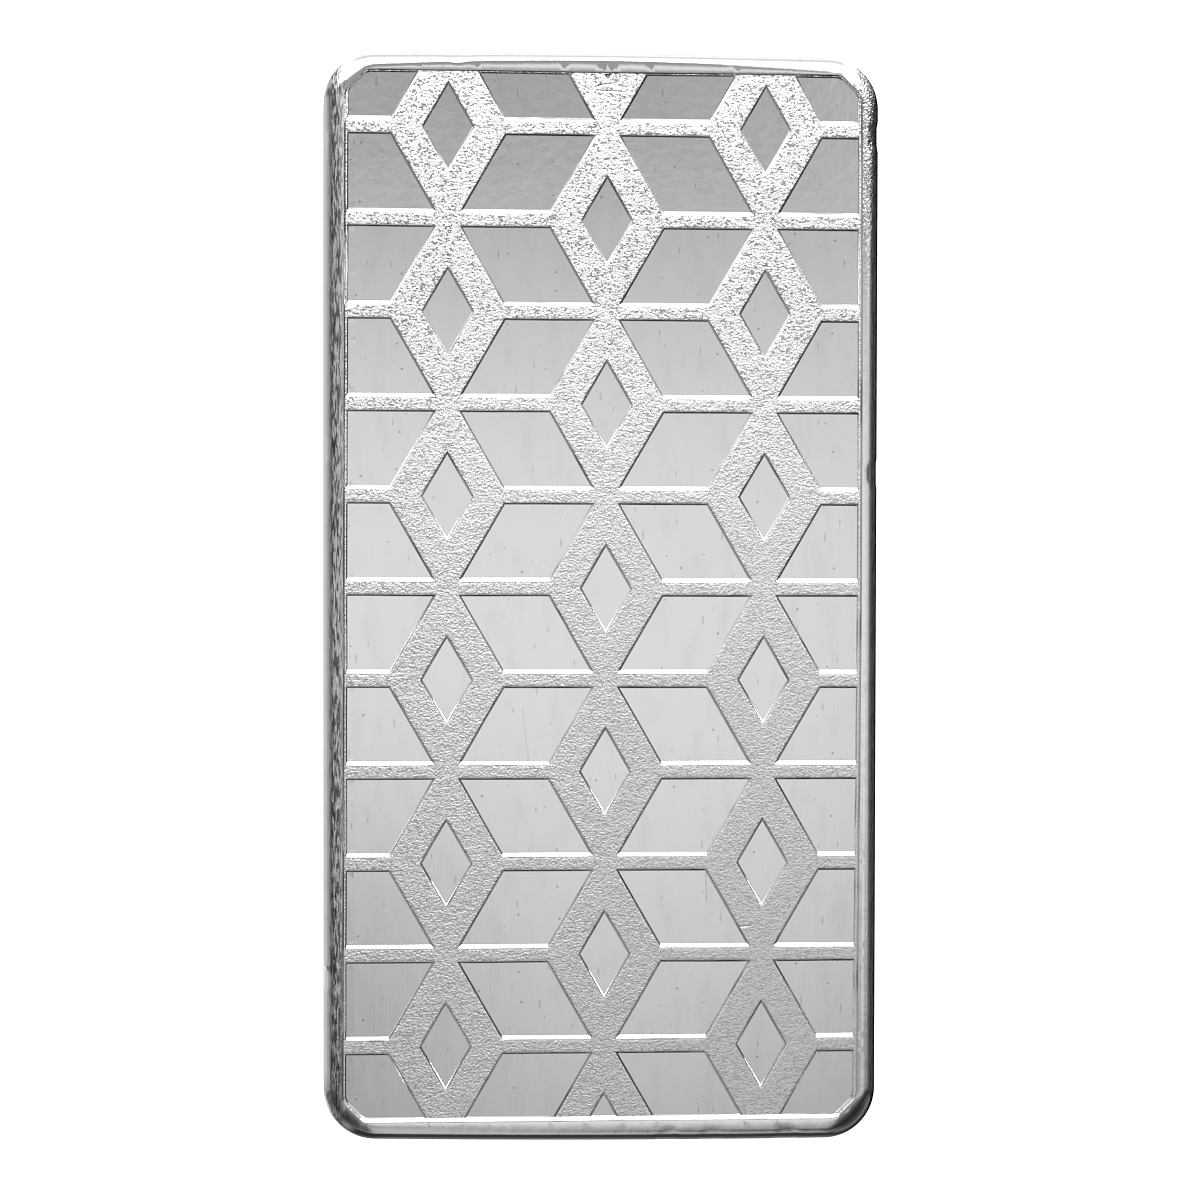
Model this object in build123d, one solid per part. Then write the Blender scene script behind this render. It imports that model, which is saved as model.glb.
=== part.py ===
"""Struck silver bar of about ten troy ounces.

One solid piece of metal. The blank is a rounded slab with softly rounded shoulders. A die has
pressed a flat field into each broad face, which leaves a narrow rim standing all round it. The
field on the upper face carries a tumbling-block pattern: slanted blocks and small lozenges are
sunk below a raised ground. The field on the underside is plain.

X is the width, Y the length and Z the thickness. The origin is the middle of the underside.
"""

from build123d import *
import math
import os

# The blank
bar_width = 46.2
bar_length = 90.6
bar_thickness = 7.5
corner_radius = 4.6
end_crown = 0.2  # each short end bows out this far in the middle
foot_skew = 0.23  # the -Y end is out of square: +X corner this far out, -X corner this far back
shoulder_radius = 0.95  # rounds the side over into each broad face

# The field that the die presses into each face
crest_width = 0.6  # flat top of the rim between the shoulder and the field
field_depth = 0.15
field_corner_cut = 1.8  # each corner of the field is cut off by this much along both sides
field_corner_easing = 1.0  # the cut corners are eased to this radius
die_draft = 45.0  # slope of every pressed wall, in degrees from upright

# The tumbling-block pattern of the upper field
block_edge = 8.8  # length of each block's four equal sides, before the strips are taken off
strip_width = 1.1  # raised strip between two sunk blocks
window_border = 2.5  # raised border between a sunk block and the lozenge beside it
figure_depth = 0.15  # the figures are sunk this far below the raised ground
pattern_shift_x = 4.7  # the pattern runs off the field unevenly, as it was struck
pattern_shift_y = 0.9

# Places that follow from the sizes above
foot_reach = foot_skew**2 / (4 * end_crown)  # the skewed end reaches this far past its middle
rim_width = shoulder_radius + crest_width
field_width = bar_width - 2 * rim_width
field_length = bar_length - 2 * (end_crown + rim_width)
ground_height = bar_thickness - field_depth
column_pitch = 1.5 * block_edge
row_pitch = math.sqrt(3) * block_edge


def bar_outline():
    """Plan of the bar: straight long sides, slightly bowed ends and rounded corners."""
    left = -bar_width / 2
    right = bar_width / 2
    head = bar_length / 2
    foot = foot_reach - bar_length / 2
    head_corner = head - end_crown
    foot_left = foot + end_crown + foot_skew
    foot_right = foot + end_crown - foot_skew
    outline = make_face(
        [
            Line((right, foot_right), (right, head_corner)),
            ThreePointArc((right, head_corner), (0, head), (left, head_corner)),
            Line((left, head_corner), (left, foot_left)),
            ThreePointArc((left, foot_left), (0, foot), (right, foot_right)),
        ]
    )
    return fillet(outline.vertices(), corner_radius)


def blank():
    """The slab before it is struck, with its shoulders rounded over on both faces."""
    slab = extrude(bar_outline(), bar_thickness)
    upper_edges = slab.faces().sort_by(Axis.Z)[-1].edges()
    lower_edges = slab.faces().sort_by(Axis.Z)[0].edges()
    return fillet(upper_edges + lower_edges, shoulder_radius)


def field_outline():
    """Plan of the struck field where it opens in the crest of the rim."""
    field = Rectangle(field_width, field_length)
    field = chamfer(field.vertices(), field_corner_cut)
    return fillet(field.vertices(), field_corner_easing)


def field_punch(depth):
    """The die that presses a field into a face at Z = 0, working downwards with drafted walls."""
    return extrude(field_outline(), depth, dir=(0, 0, -1), taper=die_draft)


def block_corner(step):
    """Corner of the six-sided outline of three blocks, counted in sixths of a turn from +X."""
    angle = math.radians(60 * step)
    return (block_edge * math.cos(angle), block_edge * math.sin(angle))


def figure_punch(steps, inset):
    """Punch for one rhombus of the three-block outline, drawn in from its edges by the inset."""
    corners = [(0, 0)] + [block_corner(step) for step in steps]
    rhombus = make_face(Polyline(*corners, close=True))
    figure = offset(rhombus, -inset, kind=Kind.INTERSECTION)
    return extrude(figure, figure_depth, dir=(0, 0, -1), taper=die_draft)


def pattern_places():
    """Middle of every three-block outline that reaches the field."""
    columns = math.ceil((field_width / 2 + block_edge + abs(pattern_shift_x)) / column_pitch)
    rows = math.ceil((field_length / 2 + row_pitch + abs(pattern_shift_y)) / row_pitch)
    places = []
    for column in range(-columns, columns + 1):
        half_step = row_pitch / 2 if column % 2 else 0
        for row in range(-rows, rows + 1):
            x = pattern_shift_x + column * column_pitch
            y = pattern_shift_y + row * row_pitch + half_step
            places.append(Location((x, y, 0)))
    return places


def pattern_punches():
    """All sunk figures of the pattern, with their open side at Z = 0, trimmed to the field."""
    figures = [
        figure_punch((0, 1, 2), strip_width / 2),
        figure_punch((4, 5, 0), strip_width / 2),
        figure_punch((2, 3, 4), window_border - strip_width / 2),
    ]
    copies = [place * figure for place in pattern_places() for figure in figures]
    trimming_block = Pos(0, 0, field_depth) * field_punch(field_depth + figure_depth)
    return Compound(copies) & trimming_block


def ingot():
    """The finished bar: the blank, struck on both faces."""
    upper_field = Pos(0, 0, bar_thickness) * field_punch(field_depth)
    lower_field = Rot(180, 0, 0) * field_punch(field_depth)
    figures = Pos(0, 0, ground_height) * pattern_punches()
    return blank() - upper_field - lower_field - figures


os.makedirs("parts", exist_ok=True)
bar = ingot()
bar.label = "ingot"
export_step(bar, "parts/ingot.step")
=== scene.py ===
"""Looks of a struck silver bar that lies on a pale studio floor.

The bar is one closed mesh. Its two faces are triangulated along the edges of the pressed pattern,
so that walls and rims are real shape, and a band of rings joins them round the side. The head end
points to +Y and the foot end to -Y. Lengths are in millimetres unless a comment says otherwise.
"""

import math

import bpy
import numpy as np
from mathutils import Matrix, Vector
from mathutils.geometry import delaunay_2d_cdt

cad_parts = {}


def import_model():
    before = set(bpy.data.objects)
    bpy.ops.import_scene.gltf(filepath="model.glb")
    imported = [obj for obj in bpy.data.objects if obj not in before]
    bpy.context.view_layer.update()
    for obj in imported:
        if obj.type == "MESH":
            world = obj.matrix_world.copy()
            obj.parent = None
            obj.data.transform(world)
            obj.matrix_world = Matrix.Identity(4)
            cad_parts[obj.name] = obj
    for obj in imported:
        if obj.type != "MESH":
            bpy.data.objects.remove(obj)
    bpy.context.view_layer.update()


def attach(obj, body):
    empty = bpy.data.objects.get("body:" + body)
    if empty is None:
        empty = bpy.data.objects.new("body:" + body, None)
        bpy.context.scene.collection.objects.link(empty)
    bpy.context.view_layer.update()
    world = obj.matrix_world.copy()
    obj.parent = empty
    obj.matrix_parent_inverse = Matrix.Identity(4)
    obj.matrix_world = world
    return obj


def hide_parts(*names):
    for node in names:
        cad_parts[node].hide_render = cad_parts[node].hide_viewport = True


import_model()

MM = 0.001

# The blank, as in the part's source
BAR_WIDTH = 46.2
BAR_LENGTH = 90.6
BAR_THICKNESS = 7.5
END_CROWN = 0.2
FOOT_SKEW = 0.23
SHOULDER_RADIUS = 0.95
CREST_WIDTH = 0.6

# The pressed fields and the pattern, as in the part's source
FIELD_DEPTH = 0.15
FIELD_CORNER_CUT = 1.8
FIELD_CORNER_EASING = 1.0
BLOCK_EDGE = 8.8
STRIP_WIDTH = 1.1
WINDOW_BORDER = 2.5
FIGURE_DEPTH = 0.15
PATTERN_SHIFT = (4.7, 0.9)

# How the strike came out on this bar
STRIKE_OFFSET = (0.087, 0.090)  # the die sat a little towards +X and +Y
STRIKE_TURN = -0.0022  # and was turned by this, in radians
CORNER_RADIUS = 4.3  # the strike filled the corners a little past their drawn radius of 4.6
FOOT_DRAW_IN = 0.0065  # keeps the skewed end inside the part's box
SKEW_SPAN = (20, 40)  # the skew comes in between these distances from the middle
WALL_RUN = 0.9  # horizontal run of a struck wall for each millimetre that it drops
LAID_BACK_GAIN = 1.0  # added to that run where the wall faces +Y
CUT_CORNER_STEEPER = 0.7  # share taken off it where the field's wall follows a cut corner
HEAD_WALL_STEEPER = 0.3  # and where it closes the +Y end
BORDER_WALL_RUN = 0.55  # of a figure's wall where it follows the field's edge
EDGE_ROUNDING = 0.05  # a figure's upper edge rolls over while its wall would drop by this
BORDER_ROUNDING = 0.04
CREST_ROUNDING = 0.04
SIDE_LEDGE = 0.27  # figures start this far inside the field's long sides
HEAD_LEDGE = 0.16
FOOT_LEDGE = 0.30
# The shoulder's width at the +Y end: in the middle, gain towards +X, gain towards both sides
HEAD_SHOULDER = (0.80, 0.04, 0.80)
HEAD_CORNER_GAIN = 0.35  # added to the shoulder's width in the two rounded corners
FOOT_CORNER_GAIN = 0.90
LEAST_CREST = 0.07  # flat crest left between the shoulder and the field
DIP_WIDTH = 0.75  # the floor falls away a little along the -X border
DIP_DEPTH = 0.018
GRAIN_HEIGHT = 0.006
GRAIN_LENGTH = (0.40, 0.28)
COARSE_GRAIN_LENGTH = (0.9, 0.7)
COARSE_GRAIN_SHARE = 0.6
GRAIN_SEEDS = (3, 4)
GRAIN_FROM_EDGE = 0.3  # the grain has its full height this far from a figure's edge
GRAIN_FROM_BORDER = (0.2, 0.45)  # and it comes in between these distances from the border
WORN_HALF = ((-8, 8), (-16, 0))  # x and -y over which wear of the stipple comes in
WORN_CORNER = ((2, 15), (14, 36))  # the same for the extra wear of one corner
WORN_SHARE = 0.25  # of the stipple that each of the two takes away
EAST_BOW = 0.07  # the field's +X edge bows out in the middle and in towards both ends by this
EAST_BOW_SPAN = (8, 21)  # x over which that bow comes in
EAST_BOW_MIDDLE = 2
EAST_BOW_LENGTH = 14
EDGE_WANDER = 0.018  # how far struck edges wander from their true line
WANDER_LENGTH = (5.0, 5.0)
WANDER_SEEDS = (21, 22)

# Dents in the shoulder: place along the rim, half length and depth
RIM_DENTS = (
    ((-23.0, -31.5), 0.45, 0.10),
    ((-23.0, 37.2), 0.35, 0.06),
    ((-23.0, 12.4), 0.40, 0.05),
    ((5.6, -45.3), 0.30, 0.02),
    ((9.2, -45.3), 0.60, 0.015),
    ((15.6, -45.2), 0.45, 0.02),
    ((23.0, 38.6), 0.60, 0.09),
    ((23.0, 10.5), 0.40, 0.05),
    ((-12.0, 45.2), 0.40, 0.025),
)
DENT_FALLOFF = (0.4, 1.0)  # in shares of the half length
DENT_FOOT = 2.2  # a dent ends this many shoulder radii below the top
DENT_SINK = 0.5  # share of its depth by which a dent also goes down

# Spacing of the mesh
RING_STEP = 0.3
SHOULDER_STEPS = 12
SIDE_STEPS = 3
LOWER_SHOULDER_STEPS = 6
FIELD_EDGE_STEP = 0.4
FIGURE_EDGE_STEP = 0.6
GROUND_STEP = 0.2
FLOOR_STEP = 1.1
BACK_STEP = 2.4
GROUND_JITTER, FLOOR_JITTER, BACK_JITTER = 0.18, 0.15, 0.1  # in shares of the step
FLOOR_CLEARANCE = 0.3  # between the points of a figure's floor and its wall
GROUND_BORDER_CLEARANCE = 0.1  # between the points of the ground and the field's wall
GROUND_EDGE_CLEARANCE = 0.08  # and between them and the rolled edge of a figure
BACK_CLEARANCE = 1.2
FIGURE_EDGE_MARGIN = 0.02  # lines of figures stop this far inside the field
CORNER_EASING_STEPS = 3
RIM_WIDTHS_TRIED = np.linspace(0.5, 2.5, 201)
SHARP_ANGLE = math.radians(27)

RIM_WIDTH = SHOULDER_RADIUS + CREST_WIDTH
FIELD_HALF_WIDTH = BAR_WIDTH / 2 - RIM_WIDTH
FIELD_HALF_LENGTH = BAR_LENGTH / 2 - END_CROWN - RIM_WIDTH
COLUMN_PITCH = 1.5 * BLOCK_EDGE
ROW_PITCH = math.sqrt(3) * BLOCK_EDGE

PATTERN_COLUMNS, PATTERN_ROWS = range(-3, 4), range(-5, 6)
FAR_OUTSIDE = -9.0  # stands for the depth in a figure where none is near
NEAR_FIGURE = 1.5  # a figure counts as near within this distance of its box
NOISE_CELLS = 256

GROUND, FIGURE, WALL, RIM, SIDE, BACK = range(6)
rng = np.random.default_rng(11)


def split_run(start, end, step):
    """Points from start up to, but not including, end, about a step apart."""
    start, end = np.asarray(start, float), np.asarray(end, float)
    count = max(1, round(float(np.linalg.norm(end - start)) / step))
    return [start + (end - start) * k / count for k in range(count)]


def bar_ring(step):
    """Plan of the blank as a closed ring of points with their outward normals."""
    half_width, half_length = BAR_WIDTH / 2, BAR_LENGTH / 2
    end_radius = (half_width**2 + END_CROWN**2) / (2 * END_CROWN)
    end_centre_y = half_length - end_radius
    corner_x = half_width - CORNER_RADIUS
    corner_y = end_centre_y + math.sqrt((end_radius - CORNER_RADIUS) ** 2 - corner_x**2)
    meet = math.atan2(corner_y - end_centre_y, corner_x)
    quarter = []
    for point in split_run((half_width, 0), (half_width, corner_y), step):
        quarter.append((*point, 1.0, 0.0))
    corner_count = round(CORNER_RADIUS * meet / step)
    for k in range(corner_count):
        a = meet * k / corner_count
        c, s = math.cos(a), math.sin(a)
        quarter.append((corner_x + CORNER_RADIUS * c, corner_y + CORNER_RADIUS * s, c, s))
    end_count = round(end_radius * (math.pi / 2 - meet) / step)
    for k in range(end_count + 1):
        a = meet + (math.pi / 2 - meet) * k / end_count
        c, s = math.cos(a), math.sin(a)
        quarter.append((end_radius * c, end_centre_y + end_radius * s, c, s))
    first = np.array(quarter)
    second = first[-2:0:-1] * (-1, 1, -1, 1)
    upper = np.vstack([first, second, first[:1] * (-1, 1, -1, 1)])
    lower = upper[-2:0:-1] * (1, -1, 1, -1)
    ring = np.vstack([upper, lower])
    to_foot = smooth_step(*SKEW_SPAN, -ring[:, 1])
    reach = FOOT_SKEW**2 / (4 * END_CROWN) + FOOT_DRAW_IN
    ring[:, 1] += (reach - FOOT_SKEW * ring[:, 0] / half_width) * to_foot
    return ring[:, :2], ring[:, 2:]


def rim_widths(ring, normals, field):
    """How far in along its normal each point of the ring meets the field."""
    met = [depth_inside(ring - normals * width, field) > 0 for width in RIM_WIDTHS_TRIED]
    return RIM_WIDTHS_TRIED[np.argmax(met, axis=0)]


def shoulder_widths(ring, normals, field):
    """How wide the upper shoulder is at each point: it grows towards the corners."""
    across = ring[:, 0] / (BAR_WIDTH / 2)
    middle, lean, gain = HEAD_SHOULDER
    head = middle + lean * across + gain * across**2
    at_head = np.clip(normals[:, 1], 0, 1) ** 2
    corner = np.abs(2 * normals[:, 0] * normals[:, 1]) ** 1.5
    corner *= np.where(normals[:, 1] > 0, HEAD_CORNER_GAIN, FOOT_CORNER_GAIN)
    widths = SHOULDER_RADIUS + (head - SHOULDER_RADIUS) * at_head + corner
    return np.minimum(widths, rim_widths(ring, normals, wander(field)) - LEAST_CREST)


def field_corners(side_inset=0.0, head_inset=0.0, foot_inset=0.0):
    """Convex outline of the field, drawn in from the crest: cut corners, each eased by an arc."""
    w, cut = FIELD_HALF_WIDTH - side_inset, FIELD_CORNER_CUT - side_inset
    head, foot = FIELD_HALF_LENGTH - head_inset, FIELD_HALF_LENGTH - foot_inset
    sharp = np.array(
        [
            (w, head - cut), (w - cut, head), (cut - w, head), (-w, head - cut),
            (-w, cut - foot), (cut - w, -foot), (w - cut, -foot), (w, cut - foot),
        ]
    )
    eased = []
    for k in range(len(sharp)):
        corner = sharp[k]
        before = sharp[k - 1] - corner
        after = sharp[(k + 1) % len(sharp)] - corner
        before /= np.linalg.norm(before)
        after /= np.linalg.norm(after)
        half_angle = math.acos(float(before @ after)) / 2
        middle = (before + after) / np.linalg.norm(before + after)
        centre = corner + middle * FIELD_CORNER_EASING / math.sin(half_angle)
        reach = FIELD_CORNER_EASING / math.tan(half_angle)
        first = corner + before * reach - centre
        turn = math.pi - 2 * half_angle
        for j in range(CORNER_EASING_STEPS + 1):
            a = turn * j / CORNER_EASING_STEPS
            c, s = math.cos(a), math.sin(a)
            eased.append(centre + (c * first[0] - s * first[1], s * first[0] + c * first[1]))
    return np.array(eased)


def figures():
    """Outlines of all sunk figures whose box reaches the field, at the level of the ground."""
    half_strip = STRIP_WIDTH / 2
    window_inset = WINDOW_BORDER - half_strip
    lozenges = ((0, 1, 2), half_strip), ((4, 5, 0), half_strip), ((2, 3, 4), window_inset)
    found = []
    for column in PATTERN_COLUMNS:
        for row in PATTERN_ROWS:
            x = PATTERN_SHIFT[0] + column * COLUMN_PITCH
            y = PATTERN_SHIFT[1] + row * ROW_PITCH + (ROW_PITCH / 2 if column % 2 else 0)
            for steps, inset in lozenges:
                angles = [math.radians(60 * k) for k in steps]
                corners = [(0, 0)] + [(math.cos(a), math.sin(a)) for a in angles]
                outline = inset_outline(np.array(corners) * BLOCK_EDGE + (x, y), inset)
                low, high = outline.min(axis=0), outline.max(axis=0)
                if low[0] < FIELD_HALF_WIDTH and high[0] > -FIELD_HALF_WIDTH:
                    if low[1] < FIELD_HALF_LENGTH and high[1] > -FIELD_HALF_LENGTH:
                        found.append(outline)
    return found


def edge_lines(outline):
    """Inward normals and offsets of a convex outline that runs anticlockwise."""
    along = np.roll(outline, -1, axis=0) - outline
    along /= np.linalg.norm(along, axis=1)[:, None]
    normals = np.stack([-along[:, 1], along[:, 0]], axis=1)
    return normals, (normals * outline).sum(axis=1)


def wall_runs(outline):
    """Run of the wall for each millimetre of drop, edge by edge: longest where it faces +Y."""
    normals, _ = edge_lines(outline)
    return WALL_RUN + LAID_BACK_GAIN * np.clip(normals[:, 1], 0, 1) ** 6


def field_runs(field):
    """The same for the field's wall: steeper at the +Y end and steepest along the cut corners."""
    normals, _ = edge_lines(field)
    aslant = 2 * np.abs(normals[:, 0] * normals[:, 1])  # 0 on a straight side, 1 on a cut corner
    cut_corner = np.clip(2 * aslant - 0.5, 0, 1)
    head_wall = np.clip(-normals[:, 1], 0, 1)
    steeper = np.maximum(CUT_CORNER_STEEPER * cut_corner, HEAD_WALL_STEEPER * head_wall)
    return wall_runs(field) * (1 - steeper)


def inset_outline(outline, inset, runs=1.0):
    """The convex outline with every edge moved inwards by the inset times its run, corners sharp."""
    normals, offsets = edge_lines(outline)
    offsets = offsets + inset * runs
    corners = []
    for k in range(len(outline)):
        sides = np.stack([normals[k - 1], normals[k]])
        corners.append(np.linalg.solve(sides, (offsets[k - 1], offsets[k])))
    return np.array(corners)


def depth_inside(points, outline, runs=1.0):
    """How far inside the convex outline each point is, over the edge's run; negative outside."""
    normals, offsets = edge_lines(outline)
    return ((points @ normals.T - offsets) / runs).min(axis=1)


def depth_in_figures(points, outlines):
    """How far the nearest figure's wall would have dropped at each point; negative on the ground."""
    best = np.full(len(points), FAR_OUTSIDE)
    for outline in outlines:
        low, high = outline.min(axis=0) - NEAR_FIGURE, outline.max(axis=0) + NEAR_FIGURE
        near = np.all((points > low) & (points < high), axis=1)
        drop = depth_inside(points[near], outline, wall_runs(outline))
        best[near] = np.maximum(best[near], drop)
    return best


def ring_edges(count):
    """Edges that join so many points in order and the last one to the first."""
    return [(k, (k + 1) % count) for k in range(count)]


def loop_points(outline, step):
    """Points all round the outline, about a step apart, with every corner among them."""
    points = []
    for k in range(len(outline)):
        points += split_run(outline[k], outline[(k + 1) % len(outline)], step)
    return np.array(points)


def kept_loop(outline, step, boundary, margin):
    """A loop with only those edges that reach inside the boundary by more than the margin."""
    points = loop_points(outline, step)
    inside = depth_inside(points, boundary) > margin
    edges = [(a, b) for a, b in ring_edges(len(points)) if inside[a] or inside[b]]
    used = sorted({k for edge in edges for k in edge})
    rename = {k: n for n, k in enumerate(used)}
    return points[used].reshape(-1, 2), [(rename[a], rename[b]) for a, b in edges]


def hex_fill(step, jitter):
    """Points of a triangular grid over the whole field, each moved a little at random."""
    rows = int(2 * FIELD_HALF_LENGTH / (step * math.sqrt(3) / 2)) + 2
    columns = int(2 * FIELD_HALF_WIDTH / step) + 2
    j, i = np.mgrid[0:rows, 0:columns]
    x = (i + 0.5 * (j % 2)) * step - FIELD_HALF_WIDTH
    y = j * step * math.sqrt(3) / 2 - FIELD_HALF_LENGTH
    grid = np.stack([x.ravel(), y.ravel()], axis=1)
    return grid + rng.uniform(-jitter * step, jitter * step, grid.shape)


def triangulate(ring, loops, fill):
    """Triangles over the ring with every loop kept as edges. Returns points, triangles, ring order."""
    points = [ring]
    edges = ring_edges(len(ring))
    count = len(ring)
    for loop, loop_edges in loops:
        points.append(loop)
        edges += [(count + a, count + b) for a, b in loop_edges]
        count += len(loop)
    points.append(fill)
    flat = [Vector(p) for p in np.vstack(points)]
    whole_inside, merge_distance = 1, 1e-5
    found = delaunay_2d_cdt(flat, edges, [], whole_inside, merge_distance, True)
    verts, faces, origins = found[0], found[2], found[3]
    place = {}
    for k, merged in enumerate(origins):
        for origin in merged:
            place[origin] = k
    order = [place[k] for k in range(len(ring))]
    return np.array([tuple(v) for v in verts]), faces, order


def rolled(distance, half_width):
    """The positive part of a distance, with its start rolled over instead of sharp."""
    near = (distance + half_width) ** 2 / (4 * half_width)
    return np.where(distance > half_width, distance, np.where(distance > -half_width, near, 0.0))


def smooth_step(low, high, value):
    """0 below the low value and 1 above the high one, with a smooth rise between them."""
    t = np.clip((value - low) / (high - low), 0, 1)
    return t * t * (3 - 2 * t)


def value_noise(points, lengths, seed):
    """Smooth random heights between -1 and 1 on a grid with cells of the two lengths."""
    table = np.random.default_rng(seed).uniform(-1, 1, (NOISE_CELLS + 1, NOISE_CELLS + 1))
    far_from_zero = 500.0
    scaled = points / lengths + far_from_zero
    cell = np.floor(scaled).astype(int)
    part = scaled - cell
    part = part * part * (3 - 2 * part)
    x0, y0 = cell[:, 0] % NOISE_CELLS, cell[:, 1] % NOISE_CELLS
    low = table[x0, y0] * (1 - part[:, 0]) + table[x0 + 1, y0] * part[:, 0]
    high = table[x0, y0 + 1] * (1 - part[:, 0]) + table[x0 + 1, y0 + 1] * part[:, 0]
    return low * (1 - part[:, 1]) + high * part[:, 1]


def grain_left(points):
    """Share of the stipple that wear has left: least towards the +X, -Y corner."""
    x, down = points[:, 0], -points[:, 1]
    half, corner = [smooth_step(*xs, x) * smooth_step(*ys, down) for xs, ys in (WORN_HALF, WORN_CORNER)]
    return 1 - WORN_SHARE * half - WORN_SHARE * corner


def front_depth(points, field, ledge, outlines):
    """How far the struck upper face lies below the crest."""
    border_drop = rolled(depth_inside(points, field, field_runs(field)), CREST_ROUNDING)
    struck = smooth_step(0.5 * FIELD_DEPTH, FIELD_DEPTH, border_drop)
    inside = depth_inside(points, field)
    in_figure = depth_in_figures(points, outlines)
    own_wall = rolled(in_figure, EDGE_ROUNDING)
    border_wall = rolled(depth_inside(points, ledge), BORDER_ROUNDING) / BORDER_WALL_RUN
    figure_drop = np.minimum(np.minimum(own_wall, border_wall), FIGURE_DEPTH)
    fine_seed, coarse_seed = GRAIN_SEEDS
    coarse = value_noise(points, COARSE_GRAIN_LENGTH, coarse_seed)
    grain = value_noise(points, GRAIN_LENGTH, fine_seed) + COARSE_GRAIN_SHARE * coarse
    grain *= GRAIN_HEIGHT * grain_left(points)
    from_edge = smooth_step(EDGE_ROUNDING, GRAIN_FROM_EDGE, -in_figure)
    grain *= from_edge * smooth_step(*GRAIN_FROM_BORDER, inside)
    from_border = points[:, 0] - field[:, 0].min()
    dip = DIP_DEPTH * smooth_step(0, 1, 1 - from_border / DIP_WIDTH)
    return np.minimum(border_drop, FIELD_DEPTH) + figure_drop + (grain + dip) * struck


def back_depth(points, field):
    """How far the plain underside field lies above the lower crest."""
    border_drop = rolled(depth_inside(points, field, field_runs(field)), CREST_ROUNDING)
    return np.minimum(border_drop, FIELD_DEPTH)


def wander(points):
    """The points turned with the die and moved by the slight unsteadiness of struck edges."""
    shift = [value_noise(points, WANDER_LENGTH, seed) for seed in WANDER_SEEDS]
    turned = points + STRIKE_TURN * points[:, ::-1] * (-1, 1)
    along = (points[:, 1] - EAST_BOW_MIDDLE) / EAST_BOW_LENGTH
    turned[:, 0] += EAST_BOW * smooth_step(*EAST_BOW_SPAN, points[:, 0]) * np.cos(along)
    return turned + EDGE_WANDER * np.stack(shift, axis=1)


def field_loops(field):
    """Closed edge loops along the field's wall, from its rolled upper edge down to its foot."""
    loops = []
    for drop in (-CREST_ROUNDING, 0.0, CREST_ROUNDING, FIELD_DEPTH):
        loop = loop_points(inset_outline(field, drop, field_runs(field)), FIELD_EDGE_STEP)
        loops.append((loop, ring_edges(len(loop))))
    return loops


def front_face(crest_ring, field, ledge, outlines):
    """Triangles of the upper face, cut along every edge line of the field and the figures."""
    loops = field_loops(field)
    border_foot = FIGURE_DEPTH * BORDER_WALL_RUN
    for inset in (-BORDER_ROUNDING, BORDER_ROUNDING, border_foot, DIP_WIDTH):
        loop = loop_points(inset_outline(ledge, inset), FIELD_EDGE_STEP)
        loops.append((loop, ring_edges(len(loop))))
    for outline in outlines:
        for drop in (FIGURE_DEPTH, EDGE_ROUNDING, 0.0, -EDGE_ROUNDING):
            wall_line = inset_outline(outline, drop, wall_runs(outline))
            loop, edges = kept_loop(wall_line, FIGURE_EDGE_STEP, field, FIGURE_EDGE_MARGIN)
            if edges:
                loops.append((loop, edges))
    ground = hex_fill(GROUND_STEP, GROUND_JITTER)
    on_floor = depth_inside(ground, field, field_runs(field)) > FIELD_DEPTH + GROUND_BORDER_CLEARANCE
    beside = depth_in_figures(ground, outlines) < -EDGE_ROUNDING - GROUND_EDGE_CLEARANCE
    ground = ground[on_floor & beside]
    floors = hex_fill(FLOOR_STEP, FLOOR_JITTER)
    from_border = depth_inside(floors, ledge) - border_foot
    from_wall = depth_in_figures(floors, outlines) - FIGURE_DEPTH
    floors = floors[(from_border > FLOOR_CLEARANCE) & (from_wall > FLOOR_CLEARANCE)]
    return triangulate(crest_ring, loops, np.vstack([ground, floors]))


def front_kinds(centres, field, ledge, outlines):
    """Material of each triangle of the upper face."""
    drop = depth_inside(centres, field, field_runs(field))
    in_figure = depth_in_figures(centres, outlines)
    from_ledge = depth_inside(centres, ledge)
    kinds = np.full(len(centres), GROUND)
    kinds[(in_figure > -EDGE_ROUNDING) & (from_ledge > -BORDER_ROUNDING)] = WALL
    floors = (in_figure > FIGURE_DEPTH) & (from_ledge > FIGURE_DEPTH * BORDER_WALL_RUN)
    kinds[floors] = FIGURE
    kinds[drop < FIELD_DEPTH] = WALL
    kinds[drop < -CREST_ROUNDING] = RIM
    return kinds.tolist()


def back_face(crest_ring, field):
    """Triangles of the underside."""
    fill = hex_fill(BACK_STEP, BACK_JITTER)
    fill = fill[depth_inside(fill, field) > BACK_CLEARANCE]
    return triangulate(crest_ring, field_loops(field), fill)


def side_rings(ring, normals, widths):
    """Rings from just below the upper crest down to just above the lower one."""
    levels = []
    for k in range(1, SHOULDER_STEPS + 1):
        a = math.pi / 2 * k / SHOULDER_STEPS
        height = BAR_THICKNESS - SHOULDER_RADIUS * (1 - math.cos(a))
        levels.append((widths * (1 - math.sin(a)), height))
    straight = BAR_THICKNESS - 2 * SHOULDER_RADIUS
    for k in range(1, SIDE_STEPS + 1):
        levels.append((0 * widths, BAR_THICKNESS - SHOULDER_RADIUS - straight * k / SIDE_STEPS))
    for k in range(1, LOWER_SHOULDER_STEPS):
        a = math.pi / 2 * (1 - k / LOWER_SHOULDER_STEPS)
        inset = np.full(len(ring), SHOULDER_RADIUS * (1 - math.sin(a)))
        levels.append((inset, SHOULDER_RADIUS * (1 - math.cos(a))))
    rings = []
    for inset, height in levels:
        layer = np.column_stack([ring - normals * inset[:, None], np.full(len(ring), height)])
        rings.append(dented(layer, normals))
    return rings


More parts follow.
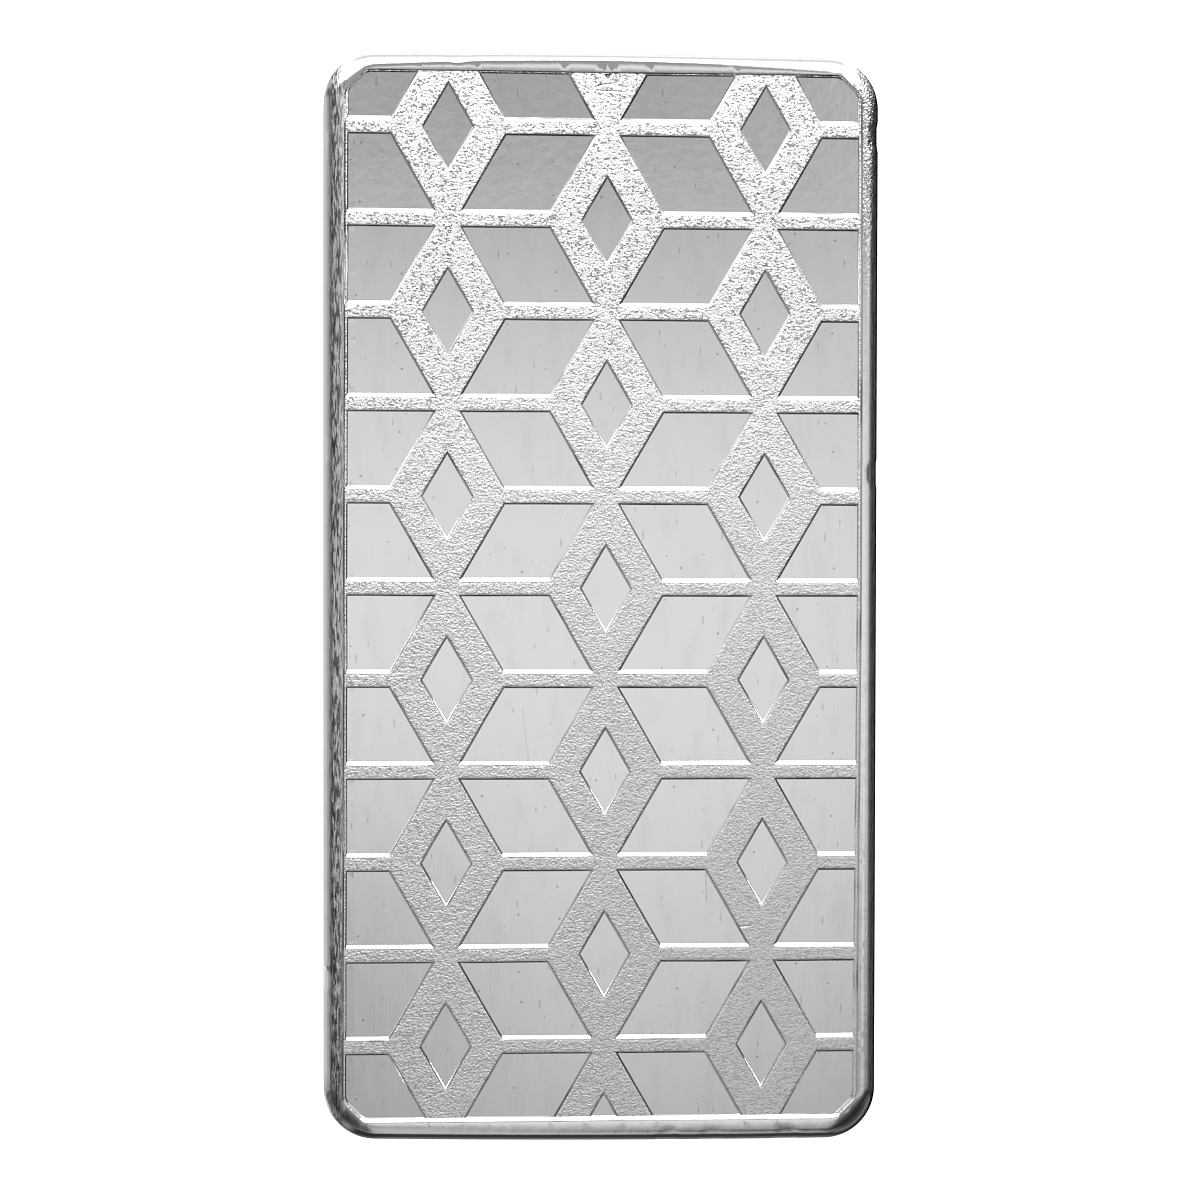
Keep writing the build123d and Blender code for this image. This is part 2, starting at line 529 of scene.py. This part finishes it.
def dented(layer, normals):
    """The ring pushed in where the upper shoulder took knocks."""
    below_top = (BAR_THICKNESS - layer[0, 2]) / SHOULDER_RADIUS
    upper = 1 - smooth_step(1, DENT_FOOT, below_top)
    push = np.zeros(len(layer))
    for place, half_length, depth in RIM_DENTS:
        apart = np.linalg.norm(layer[:, :2] - place, axis=1)
        along = np.sqrt(np.maximum(apart**2 - SHOULDER_RADIUS**2, 0))
        push = np.maximum(push, depth * (1 - smooth_step(*DENT_FALLOFF, along / half_length)))
    layer[:, :2] -= normals * (push * upper)[:, None]
    layer[:, 2] -= DENT_SINK * push * upper
    return layer


def build_bar():
    """The whole bar as one closed mesh with a material index on every face."""
    ring, normals = bar_ring(RING_STEP)
    field = field_corners() + STRIKE_OFFSET
    ledge = field_corners(SIDE_LEDGE, HEAD_LEDGE, FOOT_LEDGE) + STRIKE_OFFSET
    widths = shoulder_widths(ring, normals, field)
    crest_ring = ring - normals * widths[:, None]
    outlines = figures()

    flat, faces, order = front_face(crest_ring, field, ledge, outlines)
    moved = wander(flat)
    moved[order] = crest_ring
    heights = BAR_THICKNESS - front_depth(flat, field, ledge, outlines)
    verts = [np.column_stack([moved, heights])]
    polygons = [tuple(face) for face in faces]
    kinds = front_kinds(flat[np.array(faces)].mean(axis=1), field, ledge, outlines)

    back_field = field_corners()
    back_flat, back_faces, back_order = back_face(ring - normals * SHOULDER_RADIUS, back_field)
    layers = side_rings(ring, normals, widths)
    first_of_layer = [len(flat) + number * len(ring) for number in range(len(layers) + 1)]
    first_of_back = first_of_layer.pop()
    rings = [order]
    rings += [list(range(first, first + len(ring))) for first in first_of_layer]
    rings.append([first_of_back + k for k in back_order])
    for number, (above, below) in enumerate(zip(rings, rings[1:])):
        polygons += [(above[a], below[a], below[b], above[b]) for a, b in ring_edges(len(ring))]
        kinds += [RIM if number < SHOULDER_STEPS else SIDE] * len(ring)
    verts += layers
    verts.append(np.column_stack([back_flat, back_depth(back_flat, back_field)]))
    polygons += [tuple(first_of_back + k for k in reversed(face)) for face in back_faces]
    kinds += [BACK] * len(back_faces)
    return bar_object(np.vstack(verts), polygons, kinds)


def bar_object(verts, polygons, kinds):
    """The mesh as an object, smooth but for its flat floors and its sharp edges."""
    mesh = bpy.data.meshes.new("silver_bar")
    mesh.from_pydata((verts * MM).tolist(), [], polygons)
    mesh.polygons.foreach_set("material_index", kinds)
    mesh.set_sharp_from_angle(angle=SHARP_ANGLE)
    mesh.polygons.foreach_set("use_smooth", [kind not in (FIGURE, BACK) for kind in kinds])
    mesh.validate()
    bar = bpy.data.objects.new("silver_bar", mesh)
    bpy.context.collection.objects.link(bar)
    return bar


SILVER = (0.93, 0.925, 0.92)
HAZED_SILVER = (0.86, 0.855, 0.845)
DARK_SILVER = (0.30, 0.295, 0.285)
# Colour of the rim's grime streaks and of the painted shade along its sides
GRIME_AND_SHADE = (0.13, 0.127, 0.12)

# Sockets of a Mix node that mixes colours
MIX_FACTOR, MIX_FIRST, MIX_SECOND, MIX_RESULT = 0, 6, 7, 2


def new_material(name, roughness):
    """A plain silver material; returns it with its node tree, its shader and the place on the bar."""
    material = bpy.data.materials.new(name)
    material.use_nodes = True
    tree = material.node_tree
    shader = tree.nodes["Principled BSDF"]
    shader.inputs["Base Color"].default_value = (*SILVER, 1)
    shader.inputs["Metallic"].default_value = 1.0
    shader.inputs["Roughness"].default_value = roughness
    return material, tree, shader, place_on_bar(tree)


def place_on_bar(tree):
    """The shaded point's place on the bar as a vector in millimetres."""
    coord = tree.nodes.new("ShaderNodeTexCoord")
    scaled = tree.nodes.new("ShaderNodeVectorMath")
    scaled.operation = "SCALE"
    scaled.inputs["Scale"].default_value = 1 / MM
    tree.links.new(coord.outputs["Object"], scaled.inputs[0])
    return scaled.outputs["Vector"]


def parts_of(tree, vector):
    """The vector's x, y and z."""
    split = tree.nodes.new("ShaderNodeSeparateXYZ")
    tree.links.new(vector, split.inputs["Vector"])
    return split.outputs["X"], split.outputs["Y"], split.outputs["Z"]


def link_math(tree, operation, first, second=None, third=None):
    """A maths node fed by sockets or plain numbers; returns its output."""
    node = tree.nodes.new("ShaderNodeMath")
    node.operation = operation
    for socket, value in zip(node.inputs, (first, second, third)):
        if isinstance(value, (int, float)):
            socket.default_value = value
        elif value is not None:
            tree.links.new(value, socket)
    return node.outputs["Value"]


def product(tree, first, *others):
    """All the sockets or numbers multiplied together."""
    for other in others:
        first = link_math(tree, "MULTIPLY", first, other)
    return first


def raised(tree, total, amount, share):
    """The total with a share of the amount added."""
    return link_math(tree, "MULTIPLY_ADD", amount, share, total)


def dimmed(tree, total, amount, share):
    """The total with a share of it taken away where the amount is 1."""
    return link_math(tree, "MULTIPLY", total, link_math(tree, "MULTIPLY_ADD", amount, -share, 1.0))


def between(tree, value, low, high, start=0.0, end=1.0):
    """Smooth change of the output from start to end while the value goes from low to high."""
    node = tree.nodes.new("ShaderNodeMapRange")
    node.interpolation_type = "SMOOTHSTEP"
    for socket, number in (("From Min", low), ("From Max", high), ("To Min", start), ("To Max", end)):
        node.inputs[socket].default_value = number
    tree.links.new(value, node.inputs["Value"])
    return node.outputs["Result"]


def band(tree, value, rise, fall):
    """Smooth rise from 0 to 1 over the first pair of values and fall back to 0 over the second."""
    full, empty = fall
    return product(tree, between(tree, value, *rise), between(tree, value, empty, full))


def noise(tree, place, lengths, detail):
    """Fractal noise with features of the given lengths along X, Y and Z."""
    mapping = tree.nodes.new("ShaderNodeMapping")
    mapping.inputs["Scale"].default_value = [1 / length for length in lengths]
    texture = tree.nodes.new("ShaderNodeTexNoise")
    texture.inputs["Scale"].default_value = 1.0
    texture.inputs["Detail"].default_value = detail
    tree.links.new(place, mapping.inputs["Vector"])
    tree.links.new(mapping.outputs["Vector"], texture.inputs["Vector"])
    return texture.outputs["Fac"]


def add_bump(tree, shader, height, distance):
    """Adds a bump of the height, times the distance in millimetres, to the shader's normal."""
    bump = tree.nodes.new("ShaderNodeBump")
    bump.inputs["Distance"].default_value = distance * MM
    tree.links.new(height, bump.inputs["Height"])
    previous = shader.inputs["Normal"].links
    if previous:
        tree.links.new(previous[0].from_socket, bump.inputs["Normal"])
    tree.links.new(bump.outputs["Normal"], shader.inputs["Normal"])


def tint(tree, shader, amount, colour):
    """Lets the shader's colour so far drift towards another one where the amount is high."""
    mix = tree.nodes.new("ShaderNodeMix")
    mix.data_type = "RGBA"
    base = shader.inputs["Base Color"]
    mix.inputs[MIX_FIRST].default_value = base.default_value
    if base.links:
        tree.links.new(base.links[0].from_socket, mix.inputs[MIX_FIRST])
    mix.inputs[MIX_SECOND].default_value = (*colour, 1)
    tree.links.new(amount, mix.inputs[MIX_FACTOR])
    tree.links.new(mix.outputs[MIX_RESULT], base)


def add_patches(tree, shader, texture, edge, share, colour):
    """Tints by up to the share where the texture passes the two edge values."""
    tint(tree, shader, between(tree, texture, *edge, 0.0, share), colour)


def add_pits(tree, shader, place, spacing, size, share, stretch=1.0):
    """Sparse small dark pits, stretched along the bar."""
    mapping = tree.nodes.new("ShaderNodeMapping")
    mapping.inputs["Scale"].default_value = (1 / spacing, 1 / (stretch * spacing), 1)
    cells = tree.nodes.new("ShaderNodeTexVoronoi")
    cells.voronoi_dimensions = "2D"
    cells.inputs["Scale"].default_value = 1.0
    tree.links.new(place, mapping.inputs["Vector"])
    tree.links.new(mapping.outputs["Vector"], cells.inputs["Vector"])
    split = tree.nodes.new("ShaderNodeSeparateColor")
    tree.links.new(cells.outputs["Color"], split.inputs["Color"])
    radius = link_math(tree, "MULTIPLY", split.outputs["Red"], size / spacing)
    ratio = link_math(tree, "DIVIDE", cells.outputs["Distance"], radius)
    pits = between(tree, ratio, 0.5, 1.0, 1.0, 0.0)
    tint(tree, shader, link_math(tree, "MULTIPLY", pits, share), DARK_SILVER)


def scratch(tree, place, start, end, width):
    """Height of a groove along a segment: 0 on the segment, 1 away from it."""
    start, end = Vector((*start, 0)), Vector((*end, 0))
    length = (end - start).length
    along_unit = (end - start) / length
    flat = tree.nodes.new("ShaderNodeVectorMath")
    flat.operation = "MULTIPLY_ADD"
    flat.inputs[1].default_value = (1, 1, 0)
    flat.inputs[2].default_value = -start
    tree.links.new(place, flat.inputs[0])
    dot = tree.nodes.new("ShaderNodeVectorMath")
    dot.operation = "DOT_PRODUCT"
    dot.inputs[1].default_value = along_unit
    tree.links.new(flat.outputs["Vector"], dot.inputs[0])
    held = link_math(tree, "MINIMUM", link_math(tree, "MAXIMUM", dot.outputs["Value"], 0.0), length)
    foot = tree.nodes.new("ShaderNodeVectorMath")
    foot.operation = "SCALE"
    foot.inputs[0].default_value = along_unit
    tree.links.new(held, foot.inputs["Scale"])
    apart = tree.nodes.new("ShaderNodeVectorMath")
    apart.operation = "DISTANCE"
    tree.links.new(flat.outputs["Vector"], apart.inputs[0])
    tree.links.new(foot.outputs["Vector"], apart.inputs[1])
    return between(tree, apart.outputs["Value"], 0.0, width)


def add_scratches(tree, shader, place, segments, width, depth):
    """Grooves along all the segments as one bump."""
    height = scratch(tree, place, *segments[0], width)
    for start, end in segments[1:]:
        height = link_math(tree, "MINIMUM", height, scratch(tree, place, start, end, width))
    add_bump(tree, shader, height, depth)


GROUND_SCRATCHES = (
    ((-0.4, 42.5), (0.9, 42.7)),
    ((0.7, 42.6), (1.9, 42.4)),
    ((-0.5, 42.1), (1.8, 42.0)),
    ((4.2, -28.0), (12.5, -27.3)),
    ((15.5, -27.4), (20.6, -27.7)),
    ((6.2, -27.2), (9.0, -28.2)),
)
FIGURE_SCRATCHES = (
    ((16.3, 42.6), (16.8, 38.9)),
    ((16.0, 42.3), (16.2, 40.9)),
    ((17.0, 42.1), (16.9, 39.8)),
    ((-16.0, 37.9), (-14.9, 37.4)),
    ((-6.6, -9.2), (-6.1, -13.5)),
    ((8.7, -21.6), (8.8, -25.2)),
    ((-12.7, 5.1), (-12.8, 2.2)),
)


def stipple_left(tree, x, y):
    """Share of the stipple that wear has left, the same rule as grain_left in the mesh."""
    down = link_math(tree, "MULTIPLY", y, -1.0)
    left = 1.0
    for across, along in (WORN_HALF, WORN_CORNER):
        worn = product(tree, between(tree, x, *across), between(tree, down, *along))
        left = link_math(tree, "MULTIPLY_ADD", worn, -WORN_SHARE, left)
    return left


def ground_material():
    """Fine stipple, a little longer across the bar than along it, with painted shade in its hollows and
    over the +Y end.
    """
    material, tree, shader, place = new_material("silver_ground", 0.38)
    x, y, _ = parts_of(tree, place)
    grain = noise(tree, place, (0.20, 0.16, 0.3), 2.0)
    add_bump(tree, shader, link_math(tree, "MULTIPLY", grain, stipple_left(tree, x, y)), 0.048)
    add_scratches(tree, shader, place, GROUND_SCRATCHES, width=0.14, depth=0.02)

    # Painted shade in the stipple's hollows, stronger towards +Y and towards -X
    least_hollow_shade, head_gain, left_gain = 0.28, 0.57, 0.20
    hollow_shade = link_math(tree, "MULTIPLY_ADD", between(tree, y, 2, 30), head_gain, least_hollow_shade)
    hollow_shade = raised(tree, hollow_shade, between(tree, x, -10, -20), left_gain)
    coarse_share = 0.4
    coarse_grain = noise(tree, place, (0.42, 0.30, 0.4), 1.0)
    patchy = raised(tree, grain, coarse_grain, coarse_share)
    shaded_hollows = between(tree, patchy, 0.70, 0.56)
    # An even painted shade over the +Y end, on top of the painted shade in the hollows
    head_end_shade = between(tree, y, 14, 34, 0.0, 0.12)
    tint(tree, shader, raised(tree, head_end_shade, shaded_hollows, hollow_shade), DARK_SILVER)
    return material


def figure_material():
    """Polished floors with fine draw marks along the bar, a few pits and hazy patches."""
    material, tree, shader, place = new_material("silver_figure", 0.13)
    _, y, _ = parts_of(tree, place)
    draw_marks = noise(tree, place, (0.16, 5.0, 1.0), 2.0)
    add_bump(tree, shader, draw_marks, 0.0012)
    waves = noise(tree, place, (1.1, 3.0, 1.0), 2.0)
    add_bump(tree, shader, waves, 0.004)
    add_scratches(tree, shader, place, FIGURE_SCRATCHES, width=0.07, depth=0.004)
    haze = noise(tree, place, (1.4, 4.0, 1.0), 4.0)
    add_patches(tree, shader, haze, edge=(0.45, 0.75), share=0.7, colour=HAZED_SILVER)
    wisps = product(tree, noise(tree, place, (0.9, 0.8, 1.0), 5.0), between(tree, y, 29, 36))
    add_bump(tree, shader, wisps, 0.008)
    add_pits(tree, shader, place, spacing=3.3, size=0.16, share=0.5)
    add_pits(tree, shader, place, spacing=1.7, size=0.13, share=0.3, stretch=4.0)
    return material


def wall_material():
    """The pressed walls, with grime left in them here and there."""
    material, tree, shader, place = new_material("silver_wall", 0.16)
    unevenness = noise(tree, place, (0.3, 0.3, 0.3), 2.0)
    add_bump(tree, shader, unevenness, 0.004)
    grime = noise(tree, place, (3.0, 5.0, 1.0), 3.0)
    add_patches(tree, shader, grime, edge=(0.5, 0.7), share=0.7, colour=DARK_SILVER)
    return material


def rim_material():
    """Handled rim: scuffs along both sides, knocked near the +X, +Y corner, smoother elsewhere; grime
    streaks and painted shade along both sides, and painted shade at the two -Y corners.
    """
    material, tree, shader, place = new_material("silver_rim", 0.11)
    x, y, _ = parts_of(tree, place)
    # Band along both sides that carries the scuffs, the grime streaks and painted shade
    right_share = 0.6
    scuffed_shaded_band = product(tree, between(tree, x, -21.2, -21.9), between(tree, x, -22.8, -22.3))
    scuffed_shaded_band = raised(tree, scuffed_shaded_band, between(tree, x, 22.3, 22.7), right_share)
    scuffs = noise(tree, place, (0.15, 0.9, 0.4), 4.0)
    add_bump(tree, shader, product(tree, scuffs, scuffed_shaded_band), 0.055)
    knocked = product(tree, between(tree, x, 20.8, 21.5), between(tree, y, 22.0, 36.0))
    knocks = noise(tree, place, (0.16, 0.19, 0.2), 3.0)
    add_bump(tree, shader, product(tree, knocks, knocked), 0.052)
    waves = noise(tree, place, (1.2, 1.2, 1.2), 3.0)
    add_bump(tree, shader, waves, 0.012)

    haze = noise(tree, place, (0.8, 1.6, 0.8), 4.0)
    add_patches(tree, shader, haze, edge=(0.45, 0.75), share=0.8, colour=HAZED_SILVER)
    # Grime streaks over an even painted shade along both sides, deeper along -X
    stain_and_shade_streaks = between(tree, noise(tree, place, (0.13, 1.1, 0.4), 4.0), 0.45, 0.55, 0.25, 0.95)
    tint(tree, shader, product(tree, stain_and_shade_streaks, scuffed_shaded_band), GRIME_AND_SHADE)
    specks = between(tree, noise(tree, place, (0.15, 0.17, 0.2), 2.0), 0.47, 0.56, 0.0, 0.9)
    tint(tree, shader, product(tree, specks, knocked), DARK_SILVER)
    # Painted shade on the shoulder at the +X, -Y corner and, fainter, at the -X, -Y corner
    right_foot_shade = between(tree, link_math(tree, "SUBTRACT", x, y), 63.8, 65.1, 0.0, 0.85)
    left_foot_shade = between(tree, link_math(tree, "ADD", x, y), -61.8, -64.2, 0.0, 0.45)
    tint(tree, shader, link_math(tree, "ADD", right_foot_shade, left_foot_shade), DARK_SILVER)
    return material


def side_material():
    """The straight side: faint lines along the bar from the rolls, and small pits."""
    material, tree, shader, place = new_material("silver_side", 0.27)
    roll_lines = noise(tree, place, (6.0, 6.0, 0.12), 3.0)
    add_bump(tree, shader, roll_lines, 0.006)
    pitting = noise(tree, place, (0.4, 0.4, 0.4), 4.0)
    add_bump(tree, shader, pitting, 0.012)
    haze = noise(tree, place, (2.0, 2.0, 1.0), 4.0)
    add_patches(tree, shader, haze, edge=(0.4, 0.75), share=0.8, colour=HAZED_SILVER)
    return material


def back_material():
    """The plain underside field: drawn finish along the bar, with pits and haze."""
    material, tree, shader, place = new_material("silver_back", 0.24)
    draw_marks = noise(tree, place, (0.16, 6.0, 1.0), 2.0)
    add_bump(tree, shader, draw_marks, 0.004)
    haze = noise(tree, place, (2.0, 5.0, 1.0), 4.0)
    add_patches(tree, shader, haze, edge=(0.45, 0.75), share=0.8, colour=HAZED_SILVER)
    add_pits(tree, shader, place, spacing=2.6, size=0.15, share=0.5)
    return material


def photo_camera():
    """Camera fitted to the photograph: almost straight down, from a little towards -X."""
    tilt_x, tilt_y, roll = 0.0819, 0.0261, -0.0019
    place = Vector((-24.21, 7.60, 300.0)) * MM
    image_side, focal_pixels = 1200, 3535.8
    data = bpy.data.cameras.new("camera")
    data.sensor_width = 36.0
    data.sensor_fit = "HORIZONTAL"
    data.lens = focal_pixels * data.sensor_width / image_side
    data.clip_start = 0.01
    data.clip_end = 20
    camera = bpy.data.objects.new("camera", data)
    turn = Matrix.Rotation(roll, 3, "Z")
    turn = turn @ Matrix.Rotation(tilt_y, 3, "X") @ Matrix.Rotation(tilt_x, 3, "Y")
    camera.matrix_world = Matrix.Translation(place) @ turn.transposed().to_4x4()
    bpy.context.collection.objects.link(camera)
    bpy.context.scene.camera = camera


FLOOR_HALF_SIZE = 3.0  # in metres
FLOOR_GLOW = 0.92


def floor():
    """A wide pale floor that the bar's reflections don't see."""
    half = FLOOR_HALF_SIZE
    corners = [(-half, -half, 0), (half, -half, 0), (half, half, 0), (-half, half, 0)]
    mesh = bpy.data.meshes.new("floor")
    mesh.from_pydata(corners, [], [(0, 1, 2, 3)])
    plane = bpy.data.objects.new("floor", mesh)
    mesh.materials.append(floor_material())
    bpy.context.collection.objects.link(plane)
    plane.visible_glossy = False


def floor_material():
    """Matt white with a glow of its own, which keeps the floor as pale as the photograph's."""
    material = bpy.data.materials.new("pale_floor")
    material.use_nodes = True
    shader = material.node_tree.nodes["Principled BSDF"]
    shader.inputs["Base Color"].default_value = (0.9, 0.9, 0.9, 1)
    shader.inputs["Roughness"].default_value = 0.9
    shader.inputs["Specular IOR Level"].default_value = 0.0
    shader.inputs["Emission Color"].default_value = (1, 1, 1, 1)
    shader.inputs["Emission Strength"].default_value = FLOOR_GLOW
    return material


KEY_PLACE = (0, 210, 230)
KEY_SIZE = (300, 120)
KEY_POWER = 0.66


def key_light():
    """A soft rectangular light high up beyond the +Y end, turned towards the middle of the bar."""
    data = bpy.data.lights.new("key", "AREA")
    data.shape = "RECTANGLE"
    data.size, data.size_y = KEY_SIZE[0] * MM, KEY_SIZE[1] * MM
    data.energy = KEY_POWER
    light = bpy.data.objects.new("key", data)
    place = Vector(KEY_PLACE) * MM
    light.matrix_world = Matrix.Translation(place) @ place.to_track_quat("Z", "Y").to_matrix().to_4x4()
    light.visible_camera = False
    bpy.context.collection.objects.link(light)


WORLD_PEAK = 2.0  # the brightest tone that a stop below may have
LEAST_LEVEL = 0.001  # keeps the compass parts of a direction defined straight up and down
LEAST_TONE = 0.006  # share of the peak that every wall has at least

# Tones of the ceiling by how far a direction leans towards +Y
CEILING_END = 0.4
CEILING = (
    (-0.20, 0.44), (-0.15, 0.61), (-0.10, 0.725), (-0.05, 0.81), (0.01, 0.785),
    (0.05, 0.63), (0.085, 0.44), (0.11, 0.345), (0.15, 0.31),
)

# Tones of the four walls by the angle from straight up, in degrees
STRAIGHT_DOWN = 180
NORTH_WALL = (
    (0, 0.4), (11, 0.3), (18, 0.25), (28, 1.3), (60, 1.3), (70, 0.8), (82, 0.72), (92, 1.05), (180, 1.0),
)
SOUTH_WALL = (
    (0, 0.5), (12, 0.53), (35, 0.50), (52, 0.44), (62, 0.03), (100, 0.03), (110, 0.16), (180, 0.2),
)
EAST_WALL = (
    (0, 0.6), (22, 0.57), (34, 0.15), (55, 0.06), (100, 0.06), (115, 0.02), (150, 0.02), (172, 0.3),
)
WEST_WALL = (
    (0, 0.6), (10, 0.5), (20, 0.2), (38, 0.13), (55, 0.25), (80, 0.38), (105, 0.58), (180, 0.62),
)

# Gains of the panels, as shares of the peak, and shares that the veils take away
GLOW_GAIN = 0.46
WEST_END_GAIN = 0.20
FLANK_GAIN = 0.5
SOUTH_WEST_VEIL = 0.82
SOUTH_EAST_VEIL = 0.85
DUSK = 0.8

# Soft lights low in the four corners of the studio: which way to the east and north, and as shares
# of the peak the tone all over and what is added near the horizon
CORNER_LIGHTS = (
    (1, 1, 0.30, 0.05),
    (-1, 1, 0.45, 0.0),
    (-1, -1, 0.05, 0.10),
    (1, -1, 0.04, 0.12),
)


def tone_curve(tree, value, low, high, stops):
    """A smooth curve through (value, tone) stops between low and high, in shares of the peak."""
    scaled = tree.nodes.new("ShaderNodeMapRange")
    scaled.inputs["From Min"].default_value = low
    scaled.inputs["From Max"].default_value = high
    tree.links.new(value, scaled.inputs["Value"])
    ramp = tree.nodes.new("ShaderNodeValToRGB")
    ramp.color_ramp.interpolation = "EASE"
    elements = ramp.color_ramp.elements
    elements.remove(elements[1])
    for k, (position, tone) in enumerate(stops):
        place = (position - low) / (high - low)
        element = elements[0] if k == 0 else elements.new(place)
        element.position = place
        element.color = (tone / WORLD_PEAK, tone / WORLD_PEAK, tone / WORLD_PEAK, 1)
    tree.links.new(scaled.outputs["Result"], ramp.inputs["Fac"])
    return ramp.outputs["Color"]


def ceiling_light(tree, x, y):
    """The ceiling that the polished floors mirror: darker towards +Y and towards -X, -Y."""
    along = tone_curve(tree, y, -CEILING_END, CEILING_END, CEILING)
    low_left = product(tree, between(tree, x, 0.075, 0.01), between(tree, y, -0.05, -0.13))
    right = between(tree, x, 0.10, 0.16, 1.0, 0.93)
    return product(tree, dimmed(tree, along, low_left, 0.38), right)


def wall_light(tree, zenith, east, north):
    """The four walls by compass direction; also returns how far a direction is to one side."""
    to_north = between(tree, north, 0.60, 0.78)
    to_south = between(tree, north, -0.78, -0.93)
    aside = link_math(tree, "SUBTRACT", link_math(tree, "SUBTRACT", 1.0, to_north), to_south)
    to_east = product(tree, aside, between(tree, east, -0.2, 0.2))
    to_west = link_math(tree, "SUBTRACT", aside, to_east)
    walls = (to_north, NORTH_WALL), (to_south, SOUTH_WALL), (to_east, EAST_WALL), (to_west, WEST_WALL)
    total = 0.0
    for share, stops in walls:
        total = raised(tree, total, tone_curve(tree, zenith, 0, STRAIGHT_DOWN, stops), share)
    return total, aside


def panel_light(tree, total, zenith, east, north, aside):
    """Adds the panels beside the bright wall and hangs the veils towards -Y."""
    sideward = link_math(tree, "ABSOLUTE", east)
    endward = link_math(tree, "ABSOLUTE", north)
    glow = product(tree, between(tree, north, 0.2, 0.42), band(tree, zenith, (12, 18), (26, 36)), aside)
    total = raised(tree, total, glow, GLOW_GAIN)
    southward = between(tree, north, -0.25, -0.50)
    west_end = product(tree, between(tree, east, -0.5, -0.95), southward)
    total = raised(tree, total, west_end, WEST_END_GAIN)
    south_west = product(tree, between(tree, east, -0.04, -0.40), southward)
    veil = product(tree, band(tree, zenith, (7, 14), (48, 62)), south_west)
    total = dimmed(tree, total, veil, SOUTH_WEST_VEIL)
    south_east = product(tree, between(tree, east, 0.02, 0.35), southward)
    veil = product(tree, band(tree, zenith, (6, 24), (45, 60)), south_east)
    total = dimmed(tree, total, veil, SOUTH_EAST_VEIL)
    beside = product(tree, between(tree, sideward, 0.2, 0.45), between(tree, north, 0.6, 0.75))
    flank = product(tree, beside, band(tree, zenith, (15, 20), (30, 40)))
    total = raised(tree, total, flank, FLANK_GAIN)
    aslant = product(tree, between(tree, endward, 0.22, 0.38), aside)
    dusk = product(tree, aslant, band(tree, zenith, (38, 50), (102, 114)))
    return link_math(tree, "ADD", dimmed(tree, total, dusk, DUSK), LEAST_TONE)


def corner_light(tree, total, zenith, east, north):
    """Adds the corner lights, which keep the bar silvery when it is seen from a low corner."""
    broad = band(tree, zenith, (42, 56), (100, 112))
    narrow = band(tree, zenith, (62, 70), (80, 88))
    start, full = 0.35, 0.6
    for toward_east, toward_north, broad_tone, narrow_tone in CORNER_LIGHTS:
        corner = product(
            tree,
            between(tree, east, start * toward_east, full * toward_east),
            between(tree, north, start * toward_north, full * toward_north),
        )
        tone = raised(tree, link_math(tree, "MULTIPLY", broad, broad_tone), narrow, narrow_tone)
        total = raised(tree, total, corner, tone)
    return total


def world():
    """A studio by direction: a soft ceiling, a bright wall towards +Y and darker ones elsewhere."""
    scene_world = bpy.data.worlds.new("studio")
    bpy.context.scene.world = scene_world
    scene_world.use_nodes = True
    tree = scene_world.node_tree
    coord = tree.nodes.new("ShaderNodeTexCoord")
    x, y, z = parts_of(tree, coord.outputs["Generated"])
    zenith = link_math(tree, "MULTIPLY", link_math(tree, "ARCCOSINE", z), 180 / math.pi)
    level = link_math(tree, "MULTIPLY_ADD", link_math(tree, "MULTIPLY", z, z), -1.0, 1.0)
    level = link_math(tree, "MAXIMUM", link_math(tree, "SQRT", level), LEAST_LEVEL)
    east = link_math(tree, "DIVIDE", x, level)
    north = link_math(tree, "DIVIDE", y, level)

    total, aside = wall_light(tree, zenith, east, north)
    total = panel_light(tree, total, zenith, east, north, aside)
    total = corner_light(tree, total, zenith, east, north)
    beyond_ceiling = between(tree, zenith, 10.0, 14.0)
    under_ceiling = link_math(tree, "SUBTRACT", 1.0, beyond_ceiling)
    ceiling = product(tree, ceiling_light(tree, x, y), under_ceiling)
    background = tree.nodes["Background"]
    tree.links.new(raised(tree, ceiling, total, beyond_ceiling), background.inputs["Color"])
    background.inputs["Strength"].default_value = WORLD_PEAK


DISPLAY_GAMMA = 2.2
SHARPENING = 0.05


def sharpen_picture():
    """A little of the crispness that the photograph has from its own sharpening."""
    scene = bpy.context.scene
    scene.use_nodes = True
    tree = scene.node_tree
    tree.nodes.clear()
    picture = tree.nodes.new("CompositorNodeRLayers").outputs["Image"]
    capped = tree.nodes.new("CompositorNodeMixRGB")
    capped.blend_type = "DARKEN"
    capped.inputs["Fac"].default_value = 1.0
    capped.inputs[2].default_value = (1, 1, 1, 1)
    to_tone = tree.nodes.new("CompositorNodeGamma")
    to_tone.inputs["Gamma"].default_value = 1 / DISPLAY_GAMMA
    sharper = tree.nodes.new("CompositorNodeFilter")
    sharper.filter_type = "SHARPEN"
    sharper.inputs["Fac"].default_value = SHARPENING
    to_light = tree.nodes.new("CompositorNodeGamma")
    to_light.inputs["Gamma"].default_value = DISPLAY_GAMMA
    result = tree.nodes.new("CompositorNodeComposite")
    tree.links.new(picture, capped.inputs[1])
    tree.links.new(capped.outputs["Image"], to_tone.inputs["Image"])
    tree.links.new(to_tone.outputs["Image"], sharper.inputs["Image"])
    tree.links.new(sharper.outputs["Image"], to_light.inputs["Image"])
    tree.links.new(to_light.outputs["Image"], result.inputs["Image"])


# In the order of GROUND, FIGURE, WALL, RIM, SIDE, BACK
MATERIALS = (
    ground_material, figure_material, wall_material, rim_material, side_material, back_material,
)

bar = build_bar()
for make in MATERIALS:
    bar.data.materials.append(make())
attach(bar, "root")
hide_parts("ingot")

photo_camera()
floor()
world()
key_light()
sharpen_picture()
bpy.context.scene.view_settings.view_transform = "Standard"
